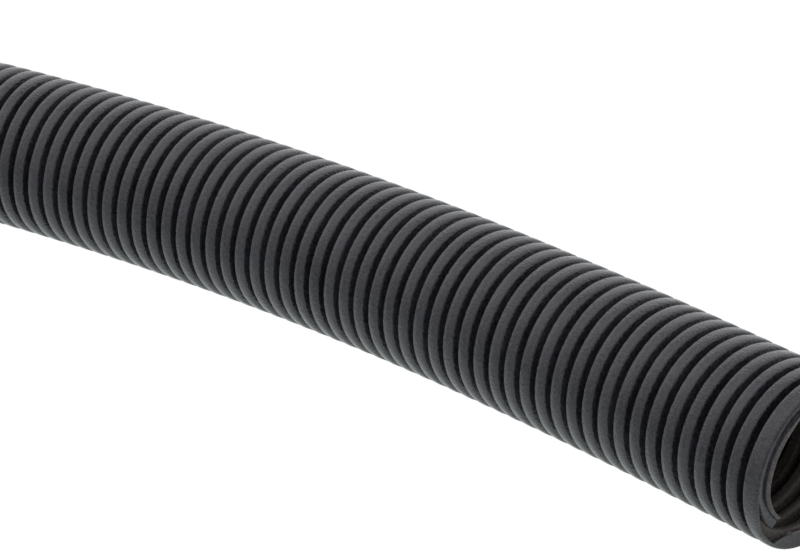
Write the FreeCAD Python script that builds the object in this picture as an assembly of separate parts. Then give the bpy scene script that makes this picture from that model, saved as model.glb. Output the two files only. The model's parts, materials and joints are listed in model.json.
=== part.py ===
"""Corrugated conduit: one thin plastic wall, pressed into rings, lying on a floor in a gentle curve.

Millimetres. The far run lies straight along X. The mouth is at the +X end, which bends towards -Y.
A rib reaches from the middle of one groove to the middle of the next.
"""

import FreeCAD
import Part

import math
import os

from FreeCAD import Vector

# Section of the wall
outer_diameter = 50.0
wall_thickness = 0.9
rib_pitch = 6.0
groove_width = 1.9
groove_depth = 3.6
flank_run = 0.35
crest_chamfer = 0.55

# The way that the conduit lies, in ribs from the far end to the mouth
straight_ribs = 102
bend_ribs = 44
bend_radius = 880.0
easing_ribs = 16
easing_radius = 1500.0
mouth_ribs = 5

# The hand cut at the mouth: degrees round the axis, from the +Y side over the top
slit_start = 185.0
tongue_end = 212.0
notch_at_crest = 228.0
notch_at_rim = 258.0
slit_width = 0.6

crest_radius = outer_diameter / 2
floor_radius = crest_radius - groove_depth
bore_radius = floor_radius - wall_thickness
half_crest = (rib_pitch - groove_width) / 2
half_foot = half_crest + flank_run


def wall_outline(ribs, overrun):
    """Closed outline of the wall's cut face in X and Z, with its end grooves longer by the overrun."""
    slope = flank_run / groove_depth
    inset = wall_thickness * (math.sqrt(1 + slope**2) - slope)
    flat = half_crest - crest_chamfer
    start = -overrun
    end = ribs * rib_pitch + overrun
    outside = [(start, floor_radius)]
    inside = [(start, bore_radius)]
    for rib in range(ribs):
        middle = (rib + 0.5) * rib_pitch
        outside += [
            (middle - half_foot, floor_radius),
            (middle - half_crest, crest_radius - crest_chamfer),
            (middle - flat, crest_radius),
            (middle + flat, crest_radius),
            (middle + half_crest, crest_radius - crest_chamfer),
            (middle + half_foot, floor_radius),
        ]
        inside += [
            (middle - half_foot + inset, bore_radius),
            (middle - half_crest + inset, crest_radius - wall_thickness),
            (middle + half_crest - inset, crest_radius - wall_thickness),
            (middle + half_foot - inset, bore_radius),
        ]
    outside.append((end, floor_radius))
    inside.append((end, bore_radius))
    corners = [Vector(x, 0, z) for x, z in outside + inside[::-1]]
    return Part.makePolygon(corners + corners[:1])


def ribbed_wall(ribs, overrun=0.0):
    """A straight row of ribs from x = 0, turned round the X axis."""
    section = Part.Face(wall_outline(ribs, overrun))
    return section.revolve(Vector(0, 0, 0), Vector(1, 0, 0), 360)


def mitre_block(turn_before, turn_after):
    """A block that trims one rib on the planes halfway between its heading and its neighbours'."""
    reach = 2 * crest_radius
    lead = reach * math.tan(turn_before / 2)
    trail = reach * math.tan(turn_after / 2)
    corners = [
        Vector(-lead, -reach, -reach),
        Vector(rib_pitch + trail, -reach, -reach),
        Vector(rib_pitch - trail, reach, -reach),
        Vector(lead, reach, -reach),
    ]
    return Part.Face(Part.makePolygon(corners + corners[:1])).extrude(Vector(0, 0, 2 * reach))


def round_axis(angle, radius, along):
    """A point at an angle round the X axis."""
    turn = math.radians(angle)
    return Vector(along, radius * math.cos(turn), radius * math.sin(turn))


def mouth_cutter():
    """What the blade took out of the last rib's front wall: a notch, and the slit that frees a tongue."""
    row_end = mouth_ribs * rib_pitch
    along = row_end - rib_pitch / 2 + half_crest - wall_thickness
    outside = crest_radius + wall_thickness
    slit_depth = wall_thickness + slit_width
    slit_middle = (slit_start + tongue_end) / 2
    start = round_axis(slit_start, crest_radius, along)
    half_way = round_axis(slit_middle, crest_radius - slit_depth / 2, along)
    slit_end = round_axis(tongue_end, crest_radius - slit_depth, along)
    tip = round_axis(tongue_end, floor_radius / 2, along)
    at_rim = round_axis(notch_at_rim, bore_radius, along)
    at_crest = round_axis(notch_at_crest, outside, along)
    over_slit = round_axis(slit_middle, outside + slit_depth, along)
    edges = [Part.Arc(start, half_way, slit_end).toShape()]
    corners = [slit_end, tip, at_rim, at_crest, over_slit, start]
    for first, second in zip(corners, corners[1:]):
        edges.append(Part.LineSegment(first, second).toShape())
    return Part.Face(Part.Wire(edges)).extrude(Vector(rib_pitch, 0, 0))


def set_down(shape, place, heading):
    """Turns a shape about Z and moves it, so that its x = 0 end comes to a place."""
    laid = shape.copy()
    laid.rotate(Vector(0, 0, 0), Vector(0, 0, 1), math.degrees(heading))
    laid.translate(place)
    return laid


def conduit():
    """The far run, the bend's mitred ribs and the cut mouth, fused into one wall."""
    turns = [2 * math.atan(rib_pitch / 2 / bend_radius)] * bend_ribs
    turns += [2 * math.atan(rib_pitch / 2 / easing_radius)] * easing_ribs
    joints = [0.0] + turns[:-1] + [0.0]
    bend_rib = ribbed_wall(1, overrun=groove_width / 4)
    place = Vector(straight_ribs * rib_pitch, 0, 0)
    heading = 0.0
    laid = []
    for turn_before, turn_after in zip(joints, joints[1:]):
        heading -= turn_before
        rib = bend_rib.common(mitre_block(turn_before, turn_after))
        laid.append(set_down(rib, place, heading))
        place += Vector(math.cos(heading), math.sin(heading), 0) * rib_pitch
    mouth = ribbed_wall(mouth_ribs).cut(mouth_cutter())
    laid.append(set_down(mouth, place, heading))
    whole = ribbed_wall(straight_ribs).multiFuse(laid)
    box = whole.BoundBox
    whole.translate(Vector(-box.Center.x, -box.Center.y, crest_radius))
    return whole.Solids[0]


if __name__ == "__main__":
    os.makedirs("parts", exist_ok=True)
    wall = conduit()
    wall.exportStep("parts/conduit.step")
    print("conduit:", wall.BoundBox, "volume", round(wall.Volume), "mm3")
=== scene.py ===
# %% [markdown]
# # A length of corrugated conduit
#
# The real thing is one thin wall of dark grey plastic. A machine pushes a soft tube into moulds that run
# along with it, and each mould presses one closed ring, or rib. The ribs make the wall stiff against
# crushing, and the narrow necks between them let it bend.
#
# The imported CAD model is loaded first. It stays as it is, and everything made here has to lie inside its
# box.

# %% Load the frame
import json
import math

import bmesh
import bpy
from mathutils import Matrix, Vector, noise


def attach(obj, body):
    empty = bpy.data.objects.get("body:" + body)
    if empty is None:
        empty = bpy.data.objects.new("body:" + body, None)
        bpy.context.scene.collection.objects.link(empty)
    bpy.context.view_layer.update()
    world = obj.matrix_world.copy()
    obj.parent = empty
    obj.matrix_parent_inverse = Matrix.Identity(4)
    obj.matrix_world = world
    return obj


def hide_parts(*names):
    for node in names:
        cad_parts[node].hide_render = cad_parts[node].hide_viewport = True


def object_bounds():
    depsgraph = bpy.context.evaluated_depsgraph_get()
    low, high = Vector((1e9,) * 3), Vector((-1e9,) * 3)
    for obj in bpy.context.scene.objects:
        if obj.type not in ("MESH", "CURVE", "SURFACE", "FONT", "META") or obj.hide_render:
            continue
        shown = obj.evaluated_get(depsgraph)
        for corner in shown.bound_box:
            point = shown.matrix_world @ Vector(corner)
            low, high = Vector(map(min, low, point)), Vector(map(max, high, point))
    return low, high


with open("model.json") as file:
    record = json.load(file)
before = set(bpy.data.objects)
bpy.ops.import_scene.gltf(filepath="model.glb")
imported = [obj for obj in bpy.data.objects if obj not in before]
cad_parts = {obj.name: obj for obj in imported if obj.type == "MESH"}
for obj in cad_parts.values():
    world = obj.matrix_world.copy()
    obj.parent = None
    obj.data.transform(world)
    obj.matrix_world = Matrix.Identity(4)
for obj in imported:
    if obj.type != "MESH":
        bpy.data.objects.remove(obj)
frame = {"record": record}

cad_low, cad_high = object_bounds()
print("CAD box:", [round(v, 4) for v in (*cad_low, *cad_high)])

# %% [markdown]
# ## The way that the conduit lies
#
# The far run is straight. The bend turns by the same small angle from one rib to the next, then by a
# smaller one, and the last ribs are straight again. A list of places and headings, one for each joint
# between two ribs, says all of this. A curve with a Curve modifier could carry the tube too, but then the
# ribs would not meet the CAD model's ribs one by one. The line that the straight run lies on comes from the
# record's first mount.

# %% Walk along the ribs
mm = 0.001
pitch = 6.0 * mm
crest_radius = 25.0 * mm
groove_radius = 21.4 * mm
wall = 0.9 * mm
straight_ribs, mouth_ribs = 102, 5
bends = ((44, 880.0 * mm), (16, 1500.0 * mm))

turns = [2 * math.atan(pitch / 2 / radius) for count, radius in bends for rib in range(count)]
steps = [0.0] * (straight_ribs + 1) + turns[:-1] + [0.0] * mouth_ribs
ribs = len(steps)
straight_y = frame["record"]["mounts"][0]["pos_m"][1]
place = Vector((cad_low.x, straight_y, crest_radius))
heading = 0.0
joints = [(place.copy(), heading)]
for turn in steps:
    heading -= turn
    place += Vector((math.cos(heading), math.sin(heading), 0)) * pitch
    joints.append((place.copy(), heading))
print(ribs, "ribs,", round(ribs * pitch, 3), "m along the axis")
print("turned by", round(math.degrees(heading), 2), "degrees")

# %% [markdown]
# ## The skin of a rib
#
# A rib is a shape turned round the tube's axis, so half of its outline is enough: it runs from the middle
# of the crest over a soft shoulder, down a steep flank and into the groove, and is mirrored. A lathe would
# do this with a Screw modifier. Here bmesh's spin does, because its result can be copied along the tube and
# joined straight away. Ribs that are seen from near get a finer outline and more steps than those of the
# far run. The inside has a plain outline of its own, one wall's thickness further in.

# %% Draw half a rib
# Each pair is the way from the middle of the crest and the distance from the axis, both in mm.
half_pitch = 3.0
flank_start = 2.03
mouth_half = ((0, 25.0), (0.9, 24.98), (1.35, 24.88), (1.7, 24.66), (1.93, 24.3), (flank_start, 23.9),
              (2.3, 21.9), (2.42, 21.55), (2.62, 21.42), (half_pitch, 21.4))
near_half = ((0, 25.0), (1.2, 24.95), (1.7, 24.7), (2.0, 24.15), (2.3, 21.85), (2.5, 21.45),
             (half_pitch, 21.4))
far_half = ((0, 25.0), (1.45, 24.88), (2.02, 24.1), (2.35, 21.6), (half_pitch, 21.4))
inner_half = ((1.2, 24.1), (1.6, 20.5), (half_pitch, 20.5))


def whole_outline(half):
    """The outline of one rib in metres, from the half that lies in front of its middle."""
    back = [(-along, radius) for along, radius in reversed(half) if along]
    return [((half_pitch + along) * mm, radius * mm) for along, radius in back + list(half)]


halves = mouth_half, near_half, far_half, inner_half
print("points on a rib's outline:", [len(whole_outline(half)) for half in halves])


# %% Turn an outline into a ring
def spin_ring(outline, steps_round):
    """A skin turned once round the X axis."""
    ring = bmesh.new()
    line = [ring.verts.new((along, radius, 0)) for along, radius in outline]
    edges = [ring.edges.new(pair) for pair in zip(line, line[1:])]
    bmesh.ops.spin(ring, geom=line + edges, cent=(0, 0, 0), axis=(1, 0, 0), dvec=(0, 0, 0), angle=math.tau,
                   steps=steps_round, use_merge=True)
    return ring


# %% Copy the ring along the tube
def row_of_ribs(half, steps_round, first, count):
    """Rings from one rib to another, joined in their grooves."""
    row = spin_ring(whole_outline(half), steps_round)
    bmesh.ops.translate(row, verts=row.verts, vec=(first * pitch, 0, 0))
    one = row.verts[:] + row.edges[:] + row.faces[:]
    for rib in range(1, count):
        copied = bmesh.ops.duplicate(row, geom=one)["geom"]
        moved = [v for v in copied if isinstance(v, bmesh.types.BMVert)]
        bmesh.ops.translate(row, verts=moved, vec=(rib * pitch, 0, 0))
    bmesh.ops.remove_doubles(row, verts=row.verts, dist=pitch / 1000)
    bmesh.ops.recalc_face_normals(row, faces=row.faces)
    return row


def add_to(whole, part):
    """Puts a finished part into the whole mesh."""
    carrier = bpy.data.meshes.new("carrier")
    part.to_mesh(carrier)
    part.free()
    whole.from_mesh(carrier)
    bpy.data.meshes.remove(carrier)


cut_ribs = 3
near_ribs = 54
far_ribs = ribs - near_ribs - cut_ribs
print(far_ribs, "plain ribs,", near_ribs, "fine ribs and", cut_ribs, "at the cut mouth")

# %% [markdown]
# ## The mouth
#
# Conduit is cut with a knife that follows a groove, because the wall is thin there. On this piece the blade
# ran off low on the side: it split the last rib along its front shoulder and freed a short tongue, took a
# notch out of the front wall, and pushed what is left of that wall back. All of that happens to a skin, so
# the last ribs are made as one skin with no thickness, cut and bent as the knife did it, and given their
# wall at the end. The cut edge then gets its thickness by itself.
#
# Places round the tube are angles in degrees: 0 is its far side, 90 the top, 180 the viewer's side and 270
# the bottom.

# %% Spin the last ribs
mouth_steps = 90
mouth = row_of_ribs(mouth_half, mouth_steps, 0, cut_ribs)
rim = cut_ribs * pitch
shoulder = rim - pitch / 2 + flank_start * mm


def angle_of(point):
    """Degrees round the tube, from its far side over the top."""
    return math.degrees(math.atan2(point.z, point.y)) % 360


def round_tube(angle, radius):
    """A point at an angle and a radius, at the start of the tube."""
    turn = math.radians(angle)
    return Vector((0, radius * math.cos(turn), radius * math.sin(turn)))


print("mouth skin:", len(mouth.faces), "faces")

# %% [markdown]
# The notch has one straight side, so a plane can cut it: it goes through a point on the crest and one at
# the rim, and the faces between it and the tongue come out.

# %% Cut the notch
slit_start, tongue_end = 184.0, 212.0
notch_at_crest, notch_at_rim = 229.0, 255.0
notch_limit = 290.0
on_blade = 1e-7


def in_reach(face):
    """Whether a face is part of the front wall below the tongue."""
    middle = face.calc_center_median()
    return middle.x > shoulder and tongue_end < angle_of(middle) < notch_limit


top, bottom = round_tube(notch_at_crest, crest_radius), round_tube(notch_at_rim, groove_radius)
blade = (bottom - top).cross(Vector((1, 0, 0))).normalized()
if blade.dot(round_tube(tongue_end, crest_radius) - top) < 0:
    blade.negate()
reached = [f for f in mouth.faces if in_reach(f)]
edges = dict.fromkeys(e for f in reached for e in f.edges)
corners = dict.fromkeys(v for f in reached for v in f.verts)
parted = [*reached, *edges, *corners]
bmesh.ops.bisect_plane(mouth, geom=parted, dist=on_blade, plane_co=top, plane_no=blade)
notch = [f for f in mouth.faces if in_reach(f) and (f.calc_center_median() - top).dot(blade) > 0]
bmesh.ops.delete(mouth, geom=notch, context="FACES")
print("notch:", len(notch), "faces out")

# %% [markdown]
# The slit parts the front wall from the crest, and what hangs free beyond it is the tongue. It is bent
# inwards, more and more towards its tip.

# %% Free the tongue and push it in
on_shoulder = 0.001 * mm
tongue_from = slit_start - 12
bent_span = slit_start - 10, tongue_end + 8
bent_in = 2.6


def ease(value, start, end):
    """Rises smoothly from 0 to 1 between two values."""
    share = min(max((value - start) / (end - start), 0), 1)
    return share * share * (3 - 2 * share)


def in_slit(edge):
    """Whether an edge lies on the shoulder, where the knife ran."""
    middle = (edge.verts[0].co + edge.verts[1].co) / 2
    level = all(abs(v.co.x - shoulder) < on_shoulder for v in edge.verts)
    return level and slit_start < angle_of(middle) < tongue_end


def is_tongue(face):
    """Whether a face belongs to the front wall above the tongue's end."""
    middle = face.calc_center_median()
    return middle.x > shoulder and angle_of(middle) < tongue_end


bmesh.ops.split_edges(mouth, edges=[e for e in mouth.edges if in_slit(e)])
tongue = {v for f in mouth.faces if is_tongue(f) for v in f.verts if angle_of(v.co) > tongue_from}
for v in tongue:
    radial = Vector((0, v.co.y, v.co.z)).normalized()
    v.co -= radial * ease(angle_of(v.co), *bent_span) * bent_in * mm
print("tongue:", len(tongue), "points pushed in")

# %% [markdown]
# The knife also stretched the last rib. Its crest is wider than the others and hangs over the wall below,
# the rim stands further out on the viewer's side than on the far side, the tongue's tip curls forwards, and
# the torn front wall at the bottom is pushed back. The last two ribs as a whole sit half a millimetre
# further back. Each of these is a smooth shift along the tube, in mm. Most of them fade in and out with the
# angle, and each pair of numbers below is a span of angles to fade over.

# %% Say where the last rib gives way
underneath = 285, 330
torn_span = 190, 214
pushed_span = 218, 242
curled_span = tongue_end - 12, tongue_end
far_side_span, viewer_span, low_span = (85, 115), (108, 132), (178, tongue_end)
viewer_out, far_side_in, all_out = 0.5, 0.9, 0.3


def rim_shift(angle):
    """How far the rim stands out: most on the viewer's side, least on the far side."""
    viewer_side = viewer_out * ease(angle, *viewer_span) * (1 - ease(angle, *low_span))
    far_side = far_side_in * (1 - ease(angle, *far_side_span))
    return viewer_side - far_side + all_out


print("rim shift at the far side, top and viewer's side:", [round(rim_shift(a), 2) for a in (0, 90, 170)])

# %% Stretch the last rib
last_groove = rim - pitch
crest_start = last_groove + 2.5 * mm
foot = shoulder + 0.4 * mm
crest_out, wall_in, tip_out, ribs_back = 1.3, 0.9, 0.5, 0.5
crest_dent, wall_dent = 0.2, 2.6
dent_start, fold_start = shoulder - 3.0 * mm, shoulder - 0.2 * mm

rim_points = [v for v in mouth.verts if v.co.x > rim - 0.01 * mm]
for v in mouth.verts:
    angle, along = angle_of(v.co), v.co.x
    seen = 1 - ease(angle, *underneath)
    torn = 0 if v in tongue else ease(angle, *torn_span) * seen
    curled = ease(angle, *curled_span) if v in tongue else 0
    pushed = ease(angle, *pushed_span) * seen
    overhang = ease(along, crest_start, shoulder) * (1 - torn)
    undercut = ease(along, shoulder, foot) * (1 - pushed)
    shift = crest_out * overhang - wall_in * undercut
    shift += rim_shift(angle) * ease(along, foot, rim) * (1 - pushed)
    shift += tip_out * curled - ribs_back * ease(along, 0, pitch)
    depth = (crest_radius - math.hypot(v.co.y, v.co.z)) / (crest_radius - groove_radius)
    dent = crest_dent * ease(along, dent_start, shoulder)
    dent += wall_dent * depth * ease(along, fold_start, shoulder)
    v.co.x += (shift - pushed * dent) * mm
print("last rib stretched to", round(max(v.co.x for v in mouth.verts) - last_groove, 4), "m")

# %% [markdown]
# Solidify gives the skin its wall on the inside and closes it at every free edge. Those new edge faces are
# the knife's cut, which is lighter than the moulded skin, so they get a material slot of their own. On the
# viewer's side the blade went through at a slant, so the outer edge of the rim is drawn back and the cut
# turns outwards. The faces at the rear go, because the long run joins on there.

# %% Give the skin its wall
cut_slot, inner_slot = 1, 2
bmesh.ops.recalc_face_normals(mouth, faces=mouth.faces)
skin = set(mouth.faces)
free_edges = [e for e in mouth.edges if e.is_boundary]
bmesh.ops.solidify(mouth, geom=mouth.faces[:], thickness=wall)
cut_faces = {f for e in free_edges for f in e.link_faces} - skin
for f in set(mouth.faces) - skin:
    f.material_index = cut_slot if f in cut_faces else inner_slot
print("mouth wall:", len(mouth.faces), "faces, of which", len(cut_faces), "are cut")

# %% Slant the cut and open the rear
slant = 0.8 * mm
slant_span, level_span = (112, 150), (212, 224)
for v in rim_points:
    angle = angle_of(v.co)
    v.co.x -= slant * ease(angle, *slant_span) * (1 - ease(angle, *level_span))
rear = [f for f in cut_faces if all(v.co.x < pitch / 10 for v in f.verts)]
bmesh.ops.delete(mouth, geom=rear, context="FACES")
bmesh.ops.translate(mouth, verts=mouth.verts, vec=((ribs - cut_ribs) * pitch, 0, 0))
radii = [math.hypot(v.co.y, v.co.z) for v in mouth.verts]
print("mouth:", len(mouth.faces), "faces, radius from", round(min(radii), 4), "to", round(max(radii), 4))

# %% [markdown]
# ## One closed wall
#
# The outer skin and the inner skin of the long run are rows of rings of their own, because the inside is
# hardly seen and needs fewer faces. Each row loses its last ring of points, and bridges close what is then
# open: rows of different fineness in a groove, and the two skins at the far end, where the conduit was cut
# square across.

# %% Lay the rows side by side
wall_mesh = bmesh.new()
add_to(wall_mesh, mouth)
far_steps, near_steps = 32, 48
mouth_start = (ribs - cut_ribs) * pitch
rows = ((far_half, far_steps, 0, far_ribs), (near_half, near_steps, far_ribs, near_ribs),
        (inner_half, far_steps, 0, ribs - cut_ribs))
for half, steps_round, first, count in rows:
    row = row_of_ribs(half, steps_round, first, count)
    if half == inner_half:
        bmesh.ops.reverse_faces(row, faces=row.faces)
        for f in row.faces:
            f.material_index = inner_slot
    row_end = (first + count) * pitch
    bmesh.ops.delete(row, geom=[v for v in row.verts if v.co.x > row_end - pitch / 100], context="VERTS")
    add_to(wall_mesh, row)
print("rows:", len(wall_mesh.faces), "faces")


# %% Bridge the open loops
def open_edges(along, inner):
    """The open edges near a place along the tube, on the inner or the outer skin."""
    found = []
    for edge in wall_mesh.edges:
        if edge.is_boundary and all(abs(v.co.x - along) < pitch / 4 for v in edge.verts):
            middle = (edge.verts[0].co + edge.verts[1].co) / 2
            if (math.hypot(middle.y, middle.z) < groove_radius - wall / 2) == inner:
                found.append(edge)
    return found


far_end = open_edges(0, False) + open_edges(0, True)
bmesh.ops.bridge_loops(wall_mesh, edges=open_edges(far_ribs * pitch, False))
bmesh.ops.bridge_loops(wall_mesh, edges=open_edges(mouth_start, False))
for f in bmesh.ops.bridge_loops(wall_mesh, edges=open_edges(mouth_start, True))["faces"]:
    f.material_index = inner_slot
for f in bmesh.ops.bridge_loops(wall_mesh, edges=far_end)["faces"]:
    f.material_index = cut_slot
wall_mesh.normal_update()
print("edges that are open or turn round:", sum(not e.is_contiguous for e in wall_mesh.edges),
      "volume:", round(wall_mesh.calc_volume(signed=True) * 1e9), "mm3")

# %% [markdown]
# ## How far a point stands out, and a tone for each rib
#
# Shine follows the ribs, and so does a lighter band on each shoulder that is partly wear and partly a painted
# highlight: the crests rub on things, the grooves do not. Inside it is the other way round: the backs of the
# grooves are smoother, and the same number puts painted shade into the pockets between them and painted light
# onto them. While the tube is still straight, each point's distance from the axis says how far it stands out,
# from 0 to 1. A point counts as inside when its normal clearly faces the axis, because a flank's normal runs
# along the tube. A second number gives each rib a tone of its own that drifts a little on the way round, as
# plastic does that was pressed rib by rib. Both are stored on the mesh, so that the material can read them
# after the tube is bent.

# %% Store the height and the tone on the ribs
height = wall_mesh.verts.layers.float.new("rib_height")
tone = wall_mesh.verts.layers.float.new("rib_tone")
clearly_inward = -0.2
step_per_rib, drift_round = 1.7, 60
for v in wall_mesh.verts:
    radial = Vector((0, v.co.y, v.co.z))
    outward = v.normal.dot(radial.normalized()) > clearly_inward
    over = radial.length - groove_radius if outward else crest_radius - wall - radial.length
    v[height] = min(max(over / (crest_radius - groove_radius), 0), 1)
    rib = math.floor(v.co.x / pitch)
    v[tone] = noise.noise(Vector((rib * step_per_rib, v.co.y * drift_round, v.co.z * drift_round)))
print("points with a height:", sum(v[height] > 0 for v in wall_mesh.verts))

# %% [markdown]
# ## Lay it down
#
# Each ring of points lies in a plane across the tube. Bending moves that plane as a whole: it goes to its
# place on the line of joints, and its heading goes evenly from one joint's to the next. On the real conduit
# mostly the grooves open on the outside of a bend and close on the inside. Here each whole rib is a little
# wider outside than inside, but in so wide a bend that is less than a fifth of a millimetre. A sway of a
# twentieth of a millimetre along the tube keeps the edges of the ribs from looking ruled.

# %% Bend the tube
headings = [(joints[max(i, 1)][1] + joints[min(i + 1, ribs)][1]) / 2 for i in range(ribs + 1)]
sway, sway_fineness = 0.05 * mm, 70


def lay(point):
    """Takes a point of the straight tube to its place on the bent one."""
    rib = min(max(int(point.x / pitch), 0), ribs - 1)
    share = point.x / pitch - rib
    middle = joints[rib][0].lerp(joints[rib + 1][0], share)
    middle.x += sway * noise.noise(point * sway_fineness)
    turn = Matrix.Rotation(headings[rib] * (1 - share) + headings[rib + 1] * share, 3, "Z")
    return middle + turn @ Vector((0, point.y, point.z))


for v in wall_mesh.verts:
    v.co = lay(v.co)
for f in wall_mesh.faces:
    f.smooth = True
print("headings of the two ends:", [round(math.degrees(headings[i]), 2) for i in (0, -1)], "degrees")

# %% Hand the wall over to the frame
mesh = bpy.data.meshes.new("conduit_wall")
wall_mesh.to_mesh(mesh)
wall_mesh.free()
mesh.set_sharp_from_angle(angle=math.radians(65))
conduit_wall = bpy.data.objects.new("conduit_wall", mesh)
bpy.context.scene.collection.objects.link(conduit_wall)
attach(conduit_wall, "root")
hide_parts("conduit")
print("triangles:", sum(len(p.vertices) - 2 for p in mesh.polygons))

# %% [markdown]
# ## The plastic
#
# The wall is black-grey polyethylene or polypropylene: a satin surface with a fine grain from the mould. A
# shader is a sum of small steps, and it reads best as arithmetic. So one class wraps a socket and lets
# Python's operators add Math nodes, and its method node adds any other kind.


# %% Write shader maths as Python
class Value:
    """What comes out of one socket of a node tree."""

    def __init__(self, tree, socket):
        self.tree, self.socket = tree, socket

    @staticmethod
    def node(tree, kind, settings=None, values=None):
        """Adds a node, sets it up, feeds its sockets and returns its outputs."""
        made = tree.nodes.new(kind)
        for name, setting in (settings or {}).items():
            setattr(made, name, setting)
        for name, value in (values or {}).items():
            if isinstance(value, Value):
                tree.links.new(value.socket, made.inputs[name])
            else:
                made.inputs[name].default_value = value
        return [Value(tree, output) for output in made.outputs]

    def math(self, operation, *others):
        """Adds a Math node that works on this value and up to two others."""
        values = {i + 1: other for i, other in enumerate(others)}
        return Value.node(self.tree, "ShaderNodeMath", {"operation": operation}, {0: self, **values})[0]

    def __add__(self, other):
        return self.math("ADD", other)

    def __sub__(self, other):
        return self.math("SUBTRACT", other)

    def __rsub__(self, other):
        return self * -1 + other

    def __mul__(self, other):
        return self.math("MULTIPLY", other)

    def __pow__(self, other):
        return self.math("POWER", other)

    __radd__, __rmul__ = __add__, __mul__


# %% Name the nodes that come back
def object_place(tree):
    """Where a point lies on its object, which is the same from every side."""
    return Value.node(tree, "ShaderNodeTexCoord")[3]


def stored(tree, name):
    """A number that is stored on the mesh."""
    return Value.node(tree, "ShaderNodeAttribute", {"attribute_name": name})[2]


def speckle(tree, place, scale, detail):
    """Noise from 0 to 1, finer with a larger scale."""
    values = {"Vector": place, "Scale": scale, "Detail": detail}
    return Value.node(tree, "ShaderNodeTexNoise", {}, values)[0]


def mix_colours(tree, share, first, second):
    """Goes from one colour to another as a share goes from 0 to 1."""
    values = {0: share, 6: (*first, 1), 7: (*second, 1)}
    return Value.node(tree, "ShaderNodeMix", {"data_type": "RGBA"}, values)[2]


# %% [markdown]
# The skin, the cut and the inside are the same plastic. The skin is black-grey, with satin crests and
# duller grooves. A knife's cut is paler and dull. The inside is browner and dull in its pockets, with painted
# shade in the pockets and painted light on the ridges between them. The shade adds up soft clouds, a fine
# grain, the tone of the rib and a lighter band along the shoulder, just below the crest, which is partly wear
# and partly a painted highlight. The grain also makes the bump.

# %% Mix the plastics
cloud_scale, grain_scale = 60.0, 1300.0
grain_depth = 0.5 * mm
edge_power, edge_gain = 24, 60
mid_height = 0.45


def plastic(name, dark, light, rough, polish, relief, painted_hollow_shade=0.0):
    """Moulded plastic, smoother by its polish where it stands out; the last number paints hollows shaded,
    ridges lit.
    """
    material = bpy.data.materials.new(name)
    material.use_nodes = True
    tree = material.node_tree
    shader = tree.nodes["Principled BSDF"]
    shader.inputs["IOR"].default_value = 1.6
    place = object_place(tree)
    cloud, grain = speckle(tree, place, cloud_scale, 3.0), speckle(tree, place, grain_scale, 1.0)
    height, tone = stored(tree, "rib_height"), stored(tree, "rib_tone")
    # A lighter band on the shoulder just below the crest: partly wear, partly a painted highlight.
    wear_and_highlight = height ** edge_power * (1 - height) * edge_gain
    shade = cloud * 0.4 + grain * 2.5 + tone * 0.5 + wear_and_highlight * 0.4 - 1.1
    # For the inside: painted shade in the hollows and painted light on the ridges that stand out.
    if painted_hollow_shade:
        shade = shade + (height - mid_height) * painted_hollow_shade
    colour = mix_colours(tree, shade, dark, light)
    roughness = grain * 0.2 + tone * 0.05 + (rough + 0.12) - height * polish
    bump_values = {"Strength": relief, "Distance": grain_depth, "Height": grain}
    bump = Value.node(tree, "ShaderNodeBump", {}, bump_values)[0]
    for socket, value in (("Base Color", colour), ("Roughness", roughness), ("Normal", bump)):
        tree.links.new(value.socket, shader.inputs[socket])
    return material


satin = plastic("satin_plastic", (0.007, 0.007, 0.011), (0.032, 0.032, 0.040),
                rough=0.30, polish=0.22, relief=0.4)
cut = plastic("cut_plastic", (0.056, 0.053, 0.052), (0.115, 0.109, 0.106),
              rough=0.6, polish=0.22, relief=0.3)
# The inside's last number paints shade into its pockets and light onto its ridges.
inner = plastic("inner_plastic", (0.005, 0.004, 0.003), (0.056, 0.048, 0.042),
                rough=0.8, polish=0.4, relief=0.3, painted_hollow_shade=0.9)
for material in (satin, cut, inner):
    mesh.materials.append(material)
print("materials:", [m.name for m in mesh.materials])

# %% [markdown]
# ## Floor, light and camera
#
# The photo was taken on white, with soft light from all around. The floor is plain and pale, so a grid of one
# face is enough.

# %% Lay the floor
floor_mesh = bmesh.new()
bmesh.ops.create_grid(floor_mesh, x_segments=1, y_segments=1, size=4.0)
floor_data = bpy.data.meshes.new("floor")
floor_mesh.to_mesh(floor_data)
floor_mesh.free()
floor = bpy.data.objects.new("floor", floor_data)
bpy.context.scene.collection.objects.link(floor)
print("floor:", len(floor_data.polygons), "face")

# %% [markdown]
# To the camera the floor glows white, and to the conduit it is a matt white card that throws light up from
# below. In the plastic's gloss the card is bright under the conduit and falls off within a hand's width
# towards the viewer and past the mouth, as under a lamp that is aimed from behind. To know how far a spot
# of the floor lies from the conduit, the bend is taken as a parabola. A trace of the card's own shading is
# mixed in, so the shadow where the conduit touches it stays.

# %% Find the way from the conduit
paper = bpy.data.materials.new("white_paper")
paper.use_nodes = True
tree = paper.node_tree
tree.nodes.clear()
camera_ray, _, _, glossy_ray, _, _, transmission_ray = Value.node(tree, "ShaderNodeLightPath")[:7]
spot_x, spot_y, _ = Value.node(tree, "ShaderNodeSeparateXYZ", {}, {"Vector": object_place(tree)})
bend_start, bend_radius = joints[straight_ribs][0].x, bends[0][1]
past_bend = (spot_x - bend_start).math("MAXIMUM", 0.0)
sideways = past_bend ** 2 * (0.5 / bend_radius) + spot_y - straight_y


def fade_from(distance, rate):
    """A glow that is even up to a distance past the mouth and falls off from there."""
    past = (spot_x - (joints[-1][0].x + distance)).math("MAXIMUM", 0.0)
    return (past * -rate).math("EXPONENT")


print("the floor's glow bends from x =", round(bend_start, 3), "m on")

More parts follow.
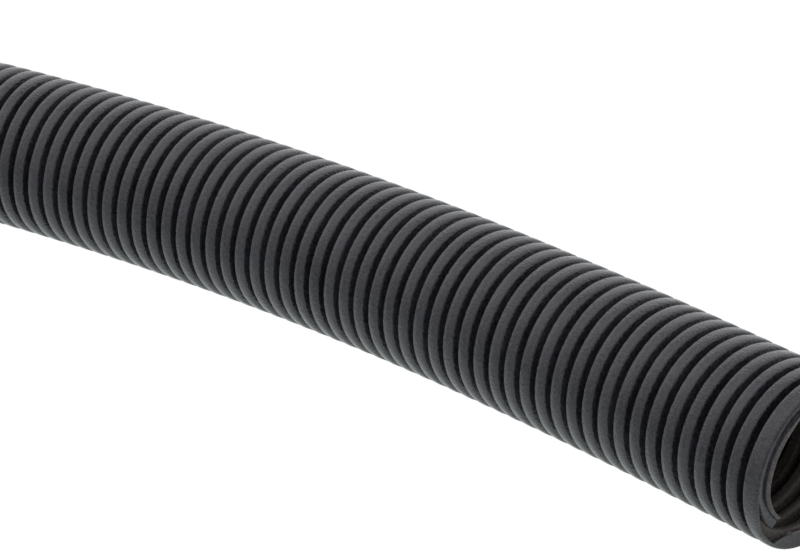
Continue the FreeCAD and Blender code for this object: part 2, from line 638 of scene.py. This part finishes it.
# %% Make the floor glow
white, dim, trace_of_shadow = 1.03, 0.2, 0.03
pool_level, rest_level = 0.85, 0.25
viewer_rate = 18
to_viewer = (sideways.math("MINIMUM", 0.0) * viewer_rate).math("EXPONENT")
pool = to_viewer * fade_from(-0.05, 7)
mirrored = fade_from(0.03, 18) * rest_level + pool * pool_level
card = Value.node(tree, "ShaderNodeBsdfDiffuse", {}, {"Color": (0.8, 0.8, 0.8, 1)})[0]
tint = mix_colours(tree, glossy_ray, (1, 1, 1), (0.94, 1, 0.99))
strength = white - glossy_ray * (white - dim - mirrored)
glow = Value.node(tree, "ShaderNodeEmission", {}, {"Color": tint, "Strength": strength})[0]
seen = (camera_ray + glossy_ray + transmission_ray).math("MINIMUM", 1.0) * (1 - trace_of_shadow)
mixed = Value.node(tree, "ShaderNodeMixShader", {}, {0: seen, 1: card, 2: glow})[0]
Value.node(tree, "ShaderNodeOutputMaterial", {}, {"Surface": mixed})
floor_data.materials.append(paper)
print("floor nodes:", len(tree.nodes))

# %% [markdown]
# A photographer's light tent is bright above and behind the object, with a weaker fill from the viewer's
# side, a small lamp low on the left and a dim gap overhead between the two large lamps. The world is that
# tent: white to the camera, and to everything else soft gradients over an even base. The gap is a narrow
# band of directions, so it is made of those that lie square to one direction.

# %% Light it
world = bpy.data.worlds.new("white_room")
bpy.context.scene.world = world
world.use_nodes = True
tree = world.node_tree
tree.nodes.clear()
camera_ray = Value.node(tree, "ShaderNodeLightPath")[0]
direction = Value.node(tree, "ShaderNodeTexCoord")[0]


def towards(side):
    """How far a direction of the room points to one side."""
    values = {0: direction, 1: side}
    return Value.node(tree, "ShaderNodeVectorMath", {"operation": "DOT_PRODUCT"}, values)[1]


base, behind_level, fill_level, left_level, gap_depth = 0.5, 0.85, 0.33, 0.5, 0.8
left_narrowness, gap_narrowness = 8, 30
behind = towards((0.05, 0.70, 0.71)).math("MAXIMUM", 0.0)
fill = towards((-0.26, -0.59, 0.77)).math("MAXIMUM", 0.0)
left = towards((-0.96, 0.05, 0.27)).math("MAXIMUM", 0.0)
overhead = towards((0, 0.35, 0.94)).math("MAXIMUM", 0.0)
square_to_gap = towards((0, -0.938, 0.347))
gap = (square_to_gap ** 2 * -gap_narrowness).math("EXPONENT") * overhead ** 2
lamps = behind * behind_level + fill ** 2 * fill_level + left ** left_narrowness * left_level
tent = lamps - gap * gap_depth + base
tint = mix_colours(tree, camera_ray, (1, 0.99, 1.01), (1, 1, 1))
strength = camera_ray + (1 - camera_ray) * tent
room = Value.node(tree, "ShaderNodeBackground", {}, {"Color": tint, "Strength": strength})[0]
Value.node(tree, "ShaderNodeOutputWorld", {}, {"Surface": room})
print("world nodes:", len(tree.nodes))

# %% [markdown]
# The photo was taken from well away with a long lens, above the conduit and past its mouth. The place, the
# lens and the two angles were fitted to the ribs that the photo shows.

# %% Set up the camera
tilt_down, turn_left = 27.248, 26.34
lens = bpy.data.cameras.new("photo_camera")
lens.lens, lens.sensor_width, lens.sensor_fit = 152.4, 36.0, "HORIZONTAL"
lens.clip_end = 20.0
camera = bpy.data.objects.new("photo_camera", lens)
camera.location = (0.73800, -0.79093, 0.4834)
camera.rotation_euler = (math.radians(90 - tilt_down), 0, math.radians(turn_left))
bpy.context.scene.collection.objects.link(camera)
bpy.context.scene.camera = camera
bpy.context.scene.view_settings.view_transform = "Standard"
print("camera at", tuple(camera.location))
